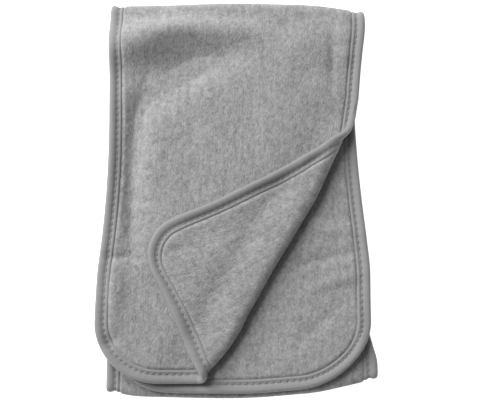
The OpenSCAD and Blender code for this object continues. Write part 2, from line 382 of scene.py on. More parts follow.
    def edge(self, s, e, end):
        """Place on the outline of one end, e inside it, at s along it. It comes down the left
        side from the nearest fold, goes round the left corner, along the end, round the right
        corner and up the right side. The corner's arcs are radius times (1 - cos) and sin."""
        w = self.half_width
        r, q = CORNER_RADII[end]
        down, turn, flat, turn2, _ = self.edge_marks(end)
        s = np.asarray(s, float)
        a = np.pi / 2 * np.clip((s - down) / (turn - down), 0, 1)
        b = np.pi / 2 * np.clip((s - flat) / (turn2 - flat), 0, 1)
        u = -w + r * (1 - np.cos(a)) + np.clip(s - turn, 0, flat - turn) + q * np.sin(b)
        v = (down + r - np.minimum(s, down) - r * np.sin(a) + q * (1 - np.cos(b))
             + np.maximum(s - turn2, 0))
        u, v = u + e * np.cos(a + b), v + e * np.sin(a + b)
        return (u, v) if end == "top" else (u, self.length - v)

    def edge_marks(self, end):
        """Where the left corner starts and ends, the right one starts and ends, and the
        outline is back at the fold, along s."""
        r, q = CORNER_RADII[end]
        run = self.marks[0] if end == "top" else self.length - self.marks[5]
        down = run - r
        turn = down + math.pi / 2 * r
        flat = turn + 2 * self.half_width - r - q
        turn2 = flat + math.pi / 2 * q
        return down, turn, flat, turn2, turn2 + run - q

    def top_edge(self, s, e):
        """Place on the top layer's outline, e inside it, at s along it."""
        return self.edge(s, e, "top")

    def second_edge(self, s, e):
        """Place on the second layer's outline, e inside it, at s along it."""
        return self.edge(s, e, "second")

    def left_side(self, v, e):
        """Place on the left side, e inside it, at v."""
        return e - self.half_width, v

    def right_side(self, v, e):
        """Place on the right side, e inside it, at v."""
        return self.half_width - e, v

    def side_runs(self, low, high):
        """Both sides between two places along the sheet."""
        return [(self.left_side, low, high), (self.right_side, low, high)]


# Soft hills and hollows: (middle x, middle y, length, width, turn in degrees, height)
TOP_HILLS = [
    (-85, 40, 150, 85, 90, 4.8),
    (-74, 119, 34, 13, 20, 8.8), (-18, 130, 42, 12, 172, 5.4), (-45, 131, 26, 12, 24, 2.2),
    (-38, 99, 42, 13, 12, -6.0), (-51, 80, 34, 12, 35, -5.6), (-76, 48, 40, 10, 82, -6.6),
    (-79, -8, 40, 8, 90, -6.0), (44, 137, 42, 13, 24, -2.6), (50, 112, 20, 13, 0, 2.4),
    (-97, -75, 45, 18, 90, 2.8),
    (74, 104, 34, 4, 90, -1.8), (84, 106, 7, 6, 0, 1.8), (84, 78, 10, 4, 45, 2.8),
    (-86, -50, 12, 4, 0, -2.2), (-90, -78, 16, 6, 90, 2.4), (-92, -112, 9, 6, 30, -2.0)]
SECOND_HILLS = [
    (92, -100, 23, 4, 88, 1.7), (67, -50, 18, 4, 12, -2.3), (74, -67, 20, 4, 18, 1.6),
    (72, -27, 20, 4, -10, 1.4), (63, -98, 26, 5, 43, -1.3)]
TURNED_HILLS = [
    (29, -9, 38, 6, 30, -1.5), (-32, -41, 30, 7, 27, -1.3), (-12, -122, 10, 7, 60, -1.2),
    (16, -64, 34, 8, 58, 1.0)]


def puffed(x, y, base, hills):
    """Swell of a layer: its base and its hills and hollows, kept above 0 by
    log(1 + e^kh) / k, where h is their sum and k the softening."""
    height = base + sum(h * hill(x, y, (a, b), long, wide, turn)
                        for a, b, long, wide, turn, h in hills)
    return np.logaddexp(0, HILL_SOFTENING * height) / HILL_SOFTENING


# ---------- meshes ----------


def weld(patches):
    """Joins flat grids that share places: equal places become one point. Gives the points
    and the four-cornered faces, each turned anticlockwise; a collapsed side repeats a point."""
    faces, start = [], 0
    for p in patches:
        n, m = p.shape[:2]
        k = np.arange(n * m).reshape(n, m) + start
        quads = np.stack([k[:-1, :-1], k[1:, :-1], k[1:, 1:], k[:-1, 1:]], -1).reshape(-1, 4)
        a, b = p[1:, 1:] - p[:-1, :-1], p[:-1, 1:] - p[1:, :-1]
        turn = np.sum(a[..., 0] * b[..., 1] - a[..., 1] * b[..., 0])
        faces.append(quads if turn > 0 else quads[:, ::-1])
        start += n * m
    points = np.concatenate([p.reshape(-1, 2) for p in patches])
    _, first, same = np.unique(np.round(points, 4), axis=0, return_index=True,
                               return_inverse=True)
    return points[first], same.reshape(-1)[np.concatenate(faces)]


def tidy(faces):
    """Faces as lists, where a four-cornered face with a repeated point becomes a triangle
    and one with less than three points is dropped."""
    after = faces != np.roll(faces, -1, axis=1)
    sides = after.sum(1)
    lists = faces[sides == 4].tolist()
    thin = faces[sides == 3]
    lists += thin[after[sides == 3]].reshape(-1, 3).tolist()
    return lists


def rim(faces):
    """Edges that only one face uses, each in that face's direction."""
    edges = np.stack([faces, np.roll(faces, -1, axis=1)], -1).reshape(-1, 2)
    edges = edges[edges[:, 0] != edges[:, 1]]
    _, where, count = np.unique(np.sort(edges, axis=1), axis=0, return_index=True,
                                return_counts=True)
    return edges[where[count == 1]]


def outward(faces, points, start):
    """Faces of a closed body whose first point has the number start, turned round if its
    volume is negative. The volume is a sixth of the sum of a · (b × c) over its triangles."""
    corners = np.concatenate([faces[:, :3], faces[:, [0, 2, 3]]]) - start
    a, b, c = (points[corners[:, i]] for i in range(3))
    return faces if np.einsum("ij,ij->", a, np.cross(b, c)) > 0 else faces[:, ::-1]


def build(name, points, faces, uv, finish, sharp=50):
    """Mesh object from points in millimetres, faces as index lists and a flat place for each
    point, in millimetres. Edges that turn by more than so many degrees stay crisp."""
    mesh = bpy.data.meshes.new(name)
    mesh.from_pydata((points * MM).tolist(), [], faces)
    corners = np.zeros(len(mesh.loops), np.int32)
    mesh.loops.foreach_get("vertex_index", corners)
    layer = mesh.uv_layers.new(name="cloth")
    layer.data.foreach_set("uv", (uv[corners] * MM).astype(np.float32).ravel())
    mesh.polygons.foreach_set("use_smooth", np.ones(len(mesh.polygons), bool))
    mesh.set_sharp_from_angle(angle=math.radians(sharp))
    mesh.validate()
    mesh.materials.append(finish)
    piece = bpy.data.objects.new(name, mesh)
    bpy.context.scene.collection.objects.link(piece)
    return piece


def slab(cloth, name, patches, finish):
    """Fleece over flat patches: its upper and lower skins stand half a loft from the middle,
    and a wall closes them along the rim. Gives the piece, and its flat size and area."""
    flat, faces = weld(patches)
    half = cloth.half_loft(flat[:, 0], flat[:, 1])
    upper = cloth.skin(flat[:, 0], flat[:, 1], half)
    lower = cloth.skin(flat[:, 0], flat[:, 1], -half)
    a, b = rim(faces).T
    count = len(flat)
    walls = np.stack([b, a, a + count, b + count], -1)
    every = np.concatenate([faces, faces[:, ::-1] + count, walls])
    piece = build(name, np.concatenate([upper, lower]), tidy(every),
                  np.concatenate([flat, flat]), finish)
    p, q = flat[faces[:, 2]] - flat[faces[:, 0]], flat[faces[:, 3]] - flat[faces[:, 1]]
    area = np.abs(p[:, 0] * q[:, 1] - p[:, 1] * q[:, 0]).sum() / 2
    cut = {"flat": tuple((flat.max(0) - flat.min(0)) * MM), "area": area * MM * MM}
    return piece, cut


LAYER_STEP, FOLD_STEP = 3, 1.5  # spacing of the rows across the sheet
CLOSE_STEP, LEAST_STEP = 0.6, 0.15  # their spacing in a bend, and the least one anywhere
BEND_MARGIN = 3  # close rows start this far before a bend


def stations(low, high, step, close=()):
    """Places from low to high about step apart, with extra ones about CLOSE_STEP apart within
    each close pair."""
    parts = [np.linspace(low, high, max(2, round((high - low) / step) + 1))]
    for a, b in close:
        parts.append(np.linspace(a, b, max(2, round((b - a) / CLOSE_STEP) + 1)))
    every = np.unique(np.round(np.concatenate(parts), 3))
    return every[np.concatenate([[True], np.diff(every) > LEAST_STEP])]


# Insets of the fleece's rows along its edge
BAND = np.array([TONGUE_FROM, 4.5, 8.0, 9.2, 9.9, 10.5, 11.1, 11.8, 12.6, 14.0])


def cross_run(cloth, low, high, step, close=()):
    """Flat grid over the sheet's whole width between two places along it."""
    inner = np.linspace(-cloth.half_width + BAND[-1], cloth.half_width - BAND[-1], 62)
    u = np.concatenate([BAND[:-1] - cloth.half_width, inner, cloth.half_width - BAND[-2::-1]])
    v = stations(low, high, step, close)
    return np.stack(np.meshgrid(u, v, indexing="ij"), -1)


# Half thickness of the bound edge as a share of its fullest, across the binding
LIP = [(2.3, 1), (3.8, 0.93), (5.2, 0.7), (6.2, 0.42), (6.9, 0.36), (7.6, 0.46), (8.4, 0.6),
       (9.3, 0.58), (10.0, 0.42), (10.5, 0.15)]
# A needle hole's dip in the groove and in the cushion: depth, inset of its middle, and width
HOLE_DIP, HOLE_WIDTH = 0.4, 1.0
PUCKER_DIP, PUCKER_AT, PUCKER_WIDTH = 0.14, 5.2, 1.3


def binding_profile(cloth, s, e):
    """Half thickness of the bound edge, e inside it: a quarter ellipse up to the fullest
    line, then a smooth fall to the stitched groove, the inner lip and its end. Each needle
    hole draws the groove a little deeper and the cushion beside it a little lower."""
    full = LIP[0][0]
    rise = np.sqrt(np.clip(1 - (np.clip(full - e, 0, full) / full) ** 2, 0, 1))
    hole = (0.5 + 0.5 * np.cos(2 * np.pi * s / cloth.pitch)) ** 2
    dip = HOLE_DIP * hole * np.exp(-((e - GROOVE_AT) / HOLE_WIDTH) ** 2)
    pucker = PUCKER_DIP * hole * np.exp(-((e - PUCKER_AT) / PUCKER_WIDTH) ** 2)
    return np.maximum(cloth.tape_half * rise * through(e, LIP) - dip - pucker, 0.05 * rise)


# Insets of the binding's rows
PROFILE = np.array([0, 0.08, 0.3, 0.7, 1.3, 2.1, 3.1, 4.2, 5.1, 5.8, 6.35, 6.9, 7.45, 8.0,
                    8.6, 9.1, 9.6, 10.0, 10.3, 10.5])
TAPE_STEP, BEND_TAPE_STEP = 0.85, 0.8  # spacing of the binding's rings
LINING_FROM, LINING_TO, LINING_HALF = 1.6, 10.35, 0.4  # insets and half gap of the inner skin


def tape(cloth, name, runs, finish, step=TAPE_STEP):
    """Binding along runs of the outline. Each run is (path, from, to), and path(s, e) gives
    the flat place. The outer skin follows the binding's profile over the edge from face to
    face; the inner one lies inside the squeezed fleece."""
    points, faces, uv, start = [], [], [], 0
    e = np.concatenate([PROFILE[::-1], PROFILE[1:]])
    face = np.concatenate([np.ones(len(PROFILE)), -np.ones(len(PROFILE) - 1)])
    k = len(e)
    for path, low, high in runs:
        s = np.linspace(low, high, max(2, round(abs(high - low) / step) + 1))[:, None]
        outer_n = binding_profile(cloth, s, e) * face
        outer_n[:, len(PROFILE) - 1] = 0
        inner_e = np.clip(e, LINING_FROM, LINING_TO)
        inner_n = np.broadcast_to(face * LINING_HALF, outer_n.shape) * np.minimum(1, inner_e / 3)
        outer = cloth.skin(*path(s, e), outer_n)
        inner = cloth.skin(*path(s, inner_e), inner_n)
        ring = np.concatenate([outer, inner[:, ::-1]], 1)
        n = len(s)
        grid = np.arange(n * 2 * k).reshape(n, 2 * k) + start
        a, b = grid[:-1], grid[1:]
        around = np.stack([a, b, np.roll(b, -1, 1), np.roll(a, -1, 1)], -1).reshape(-1, 4)
        caps = []
        for row, turned in ((grid[0], 1), (grid[-1], -1)):
            o, i = row[:k], row[k:][::-1]
            cap = np.stack([o[:-1], o[1:], i[1:], i[:-1]], -1)
            caps.append(cap[:, ::turned])
        block = np.concatenate([around] + caps)
        place = ring.reshape(-1, 3)
        faces.append(outward(block, place, start))
        points.append(place)
        girth = np.concatenate([[0], np.cumsum(np.hypot(np.diff(e), np.diff(outer_n[0])))])
        uv.append(np.stack(np.broadcast_arrays(
            s, np.concatenate([girth, girth[::-1]])), -1).reshape(-1, 2))
        start += n * 2 * k
    return build(name, np.concatenate(points), np.concatenate(faces).tolist(),
                 np.concatenate(uv), finish, sharp=75)


STITCH_HALF = 0.42  # half a stitch's length, as a share of the distance between two holes
STITCH_SLANT = 0.22  # each end lies this far beside the groove's middle
STITCH_RISE, STITCH_DIVE = 0.12, 0.5  # height of its middle over the groove, fall to its ends


def stitches(cloth, name, runs, face, finish):
    """Stitches of one face along runs of the outline. Each is a closed tube from hole to hole
    in the groove: its height over the groove falls with the fourth power of the distance
    from its middle, so that both ends dive into the cloth."""
    rings, sides = 7, 6
    points, faces, uv, start = [], [], [], 0
    along = np.linspace(-1, 1, rings)[None, :, None]
    angle = np.linspace(0, 2 * np.pi, sides, endpoint=False)[None, None]
    for path, low, high in runs:
        first = math.ceil(min(low, high) / cloth.pitch)
        s = (np.arange(first, math.floor(max(low, high) / cloth.pitch)) + 0.5) * cloth.pitch
        s = s[:, None, None]
        thick = cloth.thread * np.sqrt(np.clip(1.06 - along ** 6, 0, 1))
        place = s + along * STITCH_HALF * cloth.pitch
        e = GROOVE_AT + STITCH_SLANT * along + thick * np.cos(angle)
        groove = binding_profile(cloth, s, GROOVE_AT)
        n = groove + STITCH_RISE - STITCH_DIVE * along ** 4 + thick * np.sin(angle)
        place, e, n = np.broadcast_arrays(place, e, n)
        body = cloth.skin(*path(place, e), n * face)
        count = len(s)
        grid = np.arange(body[..., 0].size).reshape(count, rings, sides) + start
        a, b = grid[:, :-1], grid[:, 1:]
        around = np.stack([a, b, np.roll(b, -1, 2), np.roll(a, -1, 2)], -1).reshape(-1, 4)
        half = sides // 2
        ends = []
        for ring, turned in ((grid[:, 0], 1), (grid[:, -1], -1)):
            for i in range(half - 1):
                quad = np.stack([ring[:, i], ring[:, i + 1], ring[:, sides - 2 - i],
                                 ring[:, sides - 1 - i]], -1)
                ends.append(quad[:, ::turned])
        block = np.concatenate([around] + ends)
        flat = body.reshape(-1, 3)
        faces.append(outward(block, flat, start))
        points.append(flat)
        uv.append(np.stack(np.broadcast_arrays(
            place, angle * cloth.thread), -1).reshape(-1, 2))
        start += grid.size
    return build(name, np.concatenate(points), np.concatenate(faces).tolist(),
                 np.concatenate(uv), finish)


# ---------- where the pieces part ----------

FOLD_REACH = 24.0  # how far the folds' pieces run into the flat layers
SEAM_BEFORE = 2.0  # the roll's piece starts this far before the roll
SEAM_AFTER = 5.0  # and ends this far past it
TAPE_CLEAR = 1.5  # the binding is cut this far outside the roll, before it, and past its seam


class Cuts:
    """Where the top layer, the roll and the turned corner part, on the flat sheet."""

    def __init__(self, cloth):
        self.cloth = cloth
        _, turn, flat, turn2, back = cloth.edge_marks("top")
        # stretches of the outline that the seams cross: the end, and twice the right side
        self.at_end = (turn, flat)
        self.before_roll = (turn2, back - 40)
        self.past_roll = (turn2 - 40, back - 60)
        # the whole width of the binding is on the near or the far side of these places
        before, past = -TAPE_CLEAR, SEAM_AFTER + TAPE_CLEAR
        self.foot_in = self.on_edge(0.0, before, *self.at_end)
        self.foot_out = self.on_edge(cloth.tape, past, *self.at_end)
        self.top_out = self.on_edge(cloth.tape, past, *self.past_roll)
        self.top_in = self.on_edge(0.0, before, *self.before_roll)

    def gap(self, u, v, past):
        """How far a flat place is beyond a seam, counted from the roll's start for a seam
        before it, past < 0, and from its end for a seam after it."""
        x, y = self.cloth.plan(u, v)[:2]
        d, length = self.cloth.wrapped(x, y)
        return d - (past if past < 0 else length + past)

    def on_edge(self, e, past, low, high):
        """Where the outline, e inside it, crosses a seam."""
        return float(crossing(lambda s: self.gap(*self.cloth.top_edge(s, e), past),
                              low, high))

    def on_band(self, past, low, high):
        """Where each line of the band along the outline crosses a seam."""
        return crossing(lambda s: self.gap(*self.cloth.top_edge(s, BAND), past),
                        np.full(len(BAND), low), np.full(len(BAND), high))

    def on_row(self, v, past):
        """Where a row across the sheet crosses a seam."""
        v = np.asarray(v, float)
        low = np.full(v.shape, -self.cloth.half_width)
        return crossing(lambda u: self.gap(u, v, past), low, -low + 40)

    def seam(self, past, low, high, count):
        """Points of a seam between two rows."""
        v = np.linspace(low, high, count)
        return np.stack([self.on_row(v, past), v], -1)


def edge_family(cloth, starts, stops, count):
    """Flat band along the top end's outline. Its lines lie at the band's insets, and each
    runs from its own start to its own stop."""
    share = np.linspace(0, 1, count)[:, None]
    s = np.array(starts)[None] * (1 - share) + np.array(stops)[None] * share
    return np.stack(cloth.top_edge(s, BAND[None]), -1)


# ---------- finishes ----------


def node(tree, kind, at, **values):
    """New shader node, with its settings, or its inputs by name."""
    made = tree.nodes.new(kind)
    made.location = at
    for key, value in values.items():
        if hasattr(made, key):
            setattr(made, key, value)
        else:
            made.inputs[key.replace("_", " ")].default_value = value
    return made


def group(name, inputs, outputs):
    """New shader node group with its own sockets."""
    tree = bpy.data.node_groups.new(name, "ShaderNodeTree")
    for label, kind, default in inputs:
        socket = tree.interface.new_socket(label, in_out="INPUT", socket_type=kind)
        socket.default_value = default
    for label, kind in outputs:
        tree.interface.new_socket(label, in_out="OUTPUT", socket_type=kind)
    return tree, node(tree, "NodeGroupInput", (-1200, 0)), node(tree, "NodeGroupOutput", (900, 0))


def maths(tree, operation, at, *values):
    """New maths node's result. Each value is a number, or the socket that feeds it."""
    made = node(tree, "ShaderNodeMath", at, operation=operation)
    for socket, value in zip(made.inputs, values):
        if isinstance(value, bpy.types.NodeSocket):
            tree.links.new(value, socket)
        else:
            socket.default_value = value
    return made.outputs[0]


def shaded(tree, colour, bright, at):
    """A colour made brighter or darker."""
    made = node(tree, "ShaderNodeVectorMath", at, operation="SCALE")
    tree.links.new(colour, made.inputs[0])
    tree.links.new(bright, made.inputs["Scale"])
    return made.outputs[0]


# Stretch, scale, detail and weight of each noise: clouds, flecks, finer flecks, pale fibres
FLECKS = [((1, 1, 1), 28, 3, 0.10), ((1.0, 0.75, 1), 330, 4, 0.42),
          ((1, 0.5, 1), 900, 3, 0.34), ((1.0, 0.12, 1), 260, 2, 0.14)]
FLECK_ROUGHNESS = 0.62
FLECK_CONTRAST = 2.6


def mottle_group():
    """Melange cloth: broad clouds, yarn flecks stretched along the cloth and single pale
    fibres, all turned into one brightness about the cloth's colour."""
    tree, given, out = group("melange", [
        ("Cloth", "NodeSocketVector", (0, 0, 0)), ("Colour", "NodeSocketColor", (0.3, 0.3, 0.3, 1)),
        ("Strength", "NodeSocketFloat", 1.0)], [("Colour", "NodeSocketColor"),
                                               ("Pile", "NodeSocketFloat")])
    link = tree.links.new
    total = 0.0
    for k, (stretch, scale, detail, weight) in enumerate(FLECKS):
        row = 300 - 260 * k
        turned = node(tree, "ShaderNodeMapping", (-1000, row), Scale=stretch,
                      Location=(0.31 * k, 0.17 * k, 0.05 * k))
        link(given.outputs["Cloth"], turned.inputs["Vector"])
        noise = node(tree, "ShaderNodeTexNoise", (-780, row), Scale=scale, Detail=detail,
                     Roughness=FLECK_ROUGHNESS)
        link(turned.outputs[0], noise.inputs["Vector"])
        centred = maths(tree, "SUBTRACT", (-560, row), noise.outputs["Fac"], 0.5)
        weighed = maths(tree, "MULTIPLY", (-380, row), centred, weight * FLECK_CONTRAST)
        total = maths(tree, "ADD", (-180 + 160 * k, 200), total, weighed)
    bright = maths(tree, "MULTIPLY_ADD", (500, 200), total, given.outputs["Strength"], 1.0)
    link(shaded(tree, given.outputs["Colour"], bright, (700, 100)), out.inputs["Colour"])
    link(bright, out.inputs["Pile"])
    return tree


def rib_group():
    """Fine ribs across a tape or round a thread: a wave along one direction of the cloth,
    slightly broken up by noise."""
    tree, given, out = group("rib", [
        ("Cloth", "NodeSocketVector", (0, 0, 0)), ("Pitch", "NodeSocketFloat", 1000.0),
        ("Colour", "NodeSocketColor", (0.3, 0.3, 0.3, 1)), ("Slant", "NodeSocketFloat", 0.0),
        ("Strength", "NodeSocketFloat", 0.1)],
        [("Colour", "NodeSocketColor"), ("Height", "NodeSocketFloat")])
    link = tree.links.new
    parts = node(tree, "ShaderNodeSeparateXYZ", (-1000, 0))
    link(given.outputs["Cloth"], parts.inputs[0])
    lean = maths(tree, "MULTIPLY_ADD", (-820, 0), parts.outputs[1], given.outputs["Slant"],
                 parts.outputs[0])
    phase = maths(tree, "MULTIPLY", (-640, 0), lean, given.outputs["Pitch"])
    wave = maths(tree, "SINE", (-460, 0), phase)
    noise = node(tree, "ShaderNodeTexNoise", (-640, -260), Scale=420, Detail=3)
    link(given.outputs["Cloth"], noise.inputs["Vector"])
    height = maths(tree, "MULTIPLY_ADD", (-240, 0), wave, 0.25, noise.outputs["Fac"])
    centred = maths(tree, "SUBTRACT", (-60, -160), height, 0.5)
    bright = maths(tree, "MULTIPLY_ADD", (120, -160), centred, given.outputs["Strength"], 1.0)
    link(shaded(tree, given.outputs["Colour"], bright, (320, 0)), out.inputs["Colour"])
    link(height, out.inputs["Height"])
    return tree


def cloth_material(name, build_group, settings, bump, roughness, sheen):
    """Cloth finish: a pattern group on the cloth's own flat places feeds colour and bump. The
    bump is its strength and its distance."""
    found = bpy.data.materials.get(name)
    if found:
        return found
    made = bpy.data.materials.new(name)
    made.use_nodes = True
    tree = made.node_tree
    shader = tree.nodes["Principled BSDF"]
    shader.inputs["Roughness"].default_value = roughness
    shader.inputs["Sheen Weight"].default_value = sheen
    shader.inputs["Sheen Roughness"].default_value = 0.5
    shader.inputs["Specular IOR Level"].default_value = 0.2
    place = node(tree, "ShaderNodeUVMap", (-900, 0), uv_map="cloth")
    pattern = node(tree, "ShaderNodeGroup", (-600, 0))
    pattern.node_tree = bpy.data.node_groups.get(build_group[0]) or build_group[1]()
    for key, value in settings.items():
        pattern.inputs[key].default_value = value
    tree.links.new(place.outputs[0], pattern.inputs["Cloth"])
    tree.links.new(pattern.outputs["Colour"], shader.inputs["Base Color"])
    relief = node(tree, "ShaderNodeBump", (-300, -300), Strength=bump[0], Distance=bump[1])
    tree.links.new(pattern.outputs[1], relief.inputs["Height"])
    tree.links.new(relief.outputs[0], shader.inputs["Normal"])
    return made


def colour4(value):
    """A colour with full alpha."""
    return (*value, 1.0)


def fleece_finish(finish):
    """Mottled brushed fleece."""
    return cloth_material("brushed_fleece", ("melange", mottle_group),
                          {"Colour": colour4(finish.fleece), "Strength": 1.14},
                          bump=(0.5, 0.0012), roughness=0.95, sheen=0.3)


def binding_finish(finish):
    """Smooth knitted tape."""
    return cloth_material("knitted_tape", ("rib", rib_group),
                          {"Colour": colour4(finish.binding), "Pitch": 6200.0, "Slant": 0.0,
                           "Strength": 0.12}, bump=(0.25, 0.0003), roughness=0.75, sheen=0.15)


def thread_finish(finish):
    """Twisted thread."""
    return cloth_material("sewing_thread", ("rib", rib_group),
                          {"Colour": colour4(finish.thread), "Pitch": 9000.0, "Slant": 0.8,
                           "Strength": 0.4}, bump=(0.4, 0.0001), roughness=0.6, sheen=0.05)


def kit(context):
    """The cloth and the three finishes, from the scene's settings."""
    cloth = Cloth(context.scene.throw_sizes)
    finish = context.scene.throw_finish
    return cloth, fleece_finish(finish), binding_finish(finish), thread_finish(finish)


# ---------- operators ----------


class THROW_OT_lower_half(bpy.types.Operator):
    """Base layer, near fold and third layer, with their bindings and stitches."""

    bl_idname = "throw.lower_half"
    bl_label = "Lower half"

    def execute(self, context):
        cloth, fleece, binding, thread = kit(context)
        m = cloth.marks
        low, high = m[1] + FOLD_REACH, m[4] - FOLD_REACH
        bend = (m[2] - BEND_MARGIN, m[3] + BEND_MARGIN)
        grid = cross_run(cloth, low, high, LAYER_STEP, [bend])
        body, cut = slab(cloth, "lower_fleece", [grid], fleece)
        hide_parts("base_layer", "third_layer", "near_fold")
        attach(body, "lower_half")
        runs = cloth.side_runs(low, high)
        for run, side, nodes in zip(runs, ("left", "right"), (["near_fold_bindings"], [])):
            edge = tape(cloth, f"lower_binding_{side}", [run], binding)
            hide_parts(f"base_binding_{side}", f"third_binding_{side}", *nodes)
            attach(edge, "lower_half")
        for face, name, nodes in ((1, "lower_needle_thread",
                                   ["third_needle_thread", "base_under_thread"]),
                                  (-1, "lower_under_thread",
                                   ["third_under_thread", "base_needle_thread"])):
            row = stitches(cloth, name, runs, face, thread)
            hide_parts(*nodes)
            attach(row, "lower_half")
        return {"FINISHED"}


class THROW_OT_far_folds(bpy.types.Operator):
    """Outer and inner fold at the far end, with their bindings and stitches."""

    bl_idname = "throw.far_folds"
    bl_label = "Far folds"

    def execute(self, context):
        cloth, fleece, binding, thread = kit(context)
        m = cloth.marks
        for name, low, high, bottom, top in (
                ("outer", m[0] - FOLD_REACH, m[1] + FOLD_REACH, cloth.heights[1],
                 cloth.heights[0]),
                ("inner", m[4] - FOLD_REACH, m[5] + FOLD_REACH, cloth.heights[2],
                 cloth.heights[3])):
            # the flat layers at both ends stay whole: the blend lies between their bindings
            bend = (low + FOLD_REACH - BEND_MARGIN, high - FOLD_REACH + BEND_MARGIN)
            body, cut = slab(cloth, f"{name}_fold_fleece",
                              [cross_run(cloth, low, high, FOLD_STEP, [bend])], fleece)
            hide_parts(f"{name}_fold")
            runs = cloth.side_runs(low, high)
            edge = tape(cloth, f"{name}_fold_binding", runs, binding, step=BEND_TAPE_STEP)
            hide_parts(f"{name}_fold_bindings")
            rows = [stitches(cloth, f"{name}_fold_{kind}_thread", runs, face, thread)
                    for kind, face in (("needle", 1), ("under", -1))]
            for piece in [body, edge] + rows:
                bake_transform(piece)
        return {"FINISHED"}


class THROW_OT_second_layer(bpy.types.Operator):
    """Second layer with its rounded end, binding and stitches."""

    bl_idname = "throw.second_layer"
    bl_label = "Second layer"

    def execute(self, context):
        cloth, fleece, binding, thread = kit(context)
        down, turn, flat, turn2, back = cloth.edge_marks("second")
        first, last = FOLD_REACH, back - FOLD_REACH
        left_to, right_from = (down + turn) / 2, (flat + turn2) / 2
        rows, columns = 140, 90
        s = np.concatenate([np.linspace(first, left_to, rows + 1)[:-1],
                            np.linspace(left_to, right_from, columns + 1)[:-1],
                            np.linspace(right_from, last, rows + 1)])
        band = np.stack(cloth.second_edge(s[:, None], BAND[None]), -1)
        inner = band[:, -1]
        left, end = inner[:rows + 1], inner[rows:rows + columns + 1]
        right = inner[rows + columns:][::-1]
        far = np.linspace(left[0], right[0], columns + 1)
        body, cut = slab(cloth, "second_fleece",
                          [band, coons(far, end, left, right)], fleece)
        run = [(cloth.second_edge, first, last)]
        edge = tape(cloth, "second_binding_tape", run, binding)
        threads = [stitches(cloth, f"second_{kind}_stitches", run, face, thread)
                   for kind, face in (("needle", -1), ("under", 1))]
        for piece, slot, nodes in ((body, "fleece", "second_layer"),
                                   (edge, "binding", "second_binding"),
                                   (threads[0], "thread", "second_needle_thread"),
                                   (threads[1], "thread", "second_under_thread")):
            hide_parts(nodes)
            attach(piece, "upper_half")
        return {"FINISHED"}


class THROW_OT_top_layer(bpy.types.Operator):
    """Top layer up to the crease, with its bindings and stitches."""

    bl_idname = "throw.top_layer"
    bl_label = "Top layer"

    def execute(self, context):
        cloth, fleece, binding, thread = kit(context)
        cuts = Cuts(cloth)
        *_, back = cloth.edge_marks("top")
        foot = cuts.on_band(-SEAM_BEFORE, *cuts.at_end)
        head = cuts.on_band(-SEAM_BEFORE, *cuts.before_roll)
        rows = 190
        left = edge_family(cloth, np.full(len(BAND), FOLD_REACH), foot, rows)
        right = edge_family(cloth, np.full(len(BAND), back - FOLD_REACH), head, rows)
        columns = 130
        far = np.linspace(left[0, -1], right[0, -1], columns)
        near = cuts.seam(-SEAM_BEFORE, left[-1, -1, 1], right[-1, -1, 1], columns)
        body, cut = slab(cloth, "top_fleece",
                          [left, right, coons(far, near, left[:, -1], right[:, -1])], fleece)
        path = cloth.top_edge
        runs = [(path, FOLD_REACH, cuts.foot_in), (path, cuts.top_in, back - FOLD_REACH)]
        edges = [tape(cloth, f"top_binding_tape_{side}", [run], binding)
                 for side, run in zip(("left", "right"), runs)]
        threads = [stitches(cloth, f"top_{kind}_stitches", runs, face, thread)
                   for kind, face in (("needle", 1), ("under", -1))]
        for piece, slot, nodes in ((body, "fleece", "top_layer"),
                                   (edges[0], "binding", "top_binding"),
                                   (edges[1], "binding", "top_binding_right"),
                                   (threads[0], "thread", "top_needle_thread"),
                                   (threads[1], "thread", "top_under_thread")):
            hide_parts(nodes)
            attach(piece, "upper_half")
        return {"FINISHED"}


